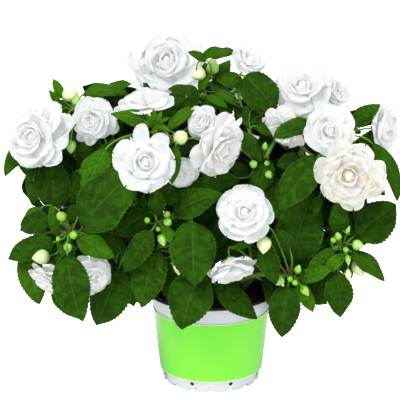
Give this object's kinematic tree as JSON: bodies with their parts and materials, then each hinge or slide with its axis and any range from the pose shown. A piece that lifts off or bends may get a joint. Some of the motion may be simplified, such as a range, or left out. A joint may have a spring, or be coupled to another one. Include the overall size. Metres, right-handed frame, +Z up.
{
  "type": "busy lizzie in a nursery pot",
  "caption": "Bushy double-flowered white busy lizzie with glossy green leaves, standing in a tapered nursery pot with a lime printed band.",
  "frame": {"origin": "middle of the underside of the pot, on the surface that it stands on", "axes": "+Z up along the pot's axis, -Y towards the side that the picture shows, +X to that side's right"},
  "size_m": [0.3233, 0.2492, 0.2908],
  "materials": {
    "pot_plastic": "satin white moulded plastic, black inside and on the rolled rim",
    "label_print": "glossy lime green printed film, plain",
    "compost": "damp dark peat-like compost with a few pale grains",
    "stem_green": "smooth fleshy stems, flushed red near the compost",
    "leaf_green": "glossy dark to lime green leaves with pale veins and toothed edges",
    "petal_white": "soft white petals, faintly blush or cream in the folds",
    "bud_cream": "smooth cream and lime buds"
  },
  "bodies": {
    "root": {"pot": "pot_plastic", "label_band": "label_print", "soil": "compost", "stem_front_left": "stem_green", "stem_front_middle": "stem_green", "stem_upper_middle": "stem_green", "stem_top": "stem_green", "stem_right_middle": "stem_green", "stem_low_right": "stem_green", "stem_front_right": "stem_green", "stem_upper_left": "stem_green", "stem_upper_right": "stem_green", "stem_back_left": "stem_green", "stem_back_middle": "stem_green", "stem_back_right": "stem_green", "leaf_left_broad": "leaf_green", "leaf_left_front": "leaf_green", "leaf_left_low": "leaf_green", "leaf_left_point": "leaf_green", "leaf_left_side": "leaf_green", "leaf_left_upright": "leaf_green", "leaf_left_lime": "leaf_green", "leaf_middle_large": "leaf_green", "leaf_middle_folded": "leaf_green", "leaf_middle_left": "leaf_green", "leaf_middle_right": "leaf_green", "leaf_over_pot": "leaf_green", "leaf_over_rim": "leaf_green", "leaf_right_dark": "leaf_green", "leaf_right_broad": "leaf_green", "leaf_right_lifted": "leaf_green", "leaf_right_hanging": "leaf_green", "leaf_right_low": "leaf_green", "leaf_top_round": "leaf_green", "leaf_top_arched": "leaf_green", "leaf_back_left": "leaf_green", "leaf_back_left_low": "leaf_green", "leaf_back_middle": "leaf_green", "leaf_back_middle_low": "leaf_green", "leaf_back_right": "leaf_green", "leaf_back_right_low": "leaf_green", "flower_far_left": "petal_white", "flower_left": "petal_white", "flower_top": "petal_white", "flower_edge_on": "petal_white", "flower_front": "petal_white", "flower_middle": "petal_white", "flower_rose": "petal_white", "flower_drooping": "petal_white", "flower_upper_right": "petal_white", "flower_shaded": "petal_white", "flower_right_rose": "petal_white", "flower_aged": "petal_white", "flower_far_right": "petal_white", "flower_low_left": "petal_white", "flower_back_left": "petal_white", "flower_back_middle": "petal_white", "flower_back_right": "petal_white", "bud_upper_left": "bud_cream", "bud_front_right": "bud_cream"}
  },
  "joints": []
}
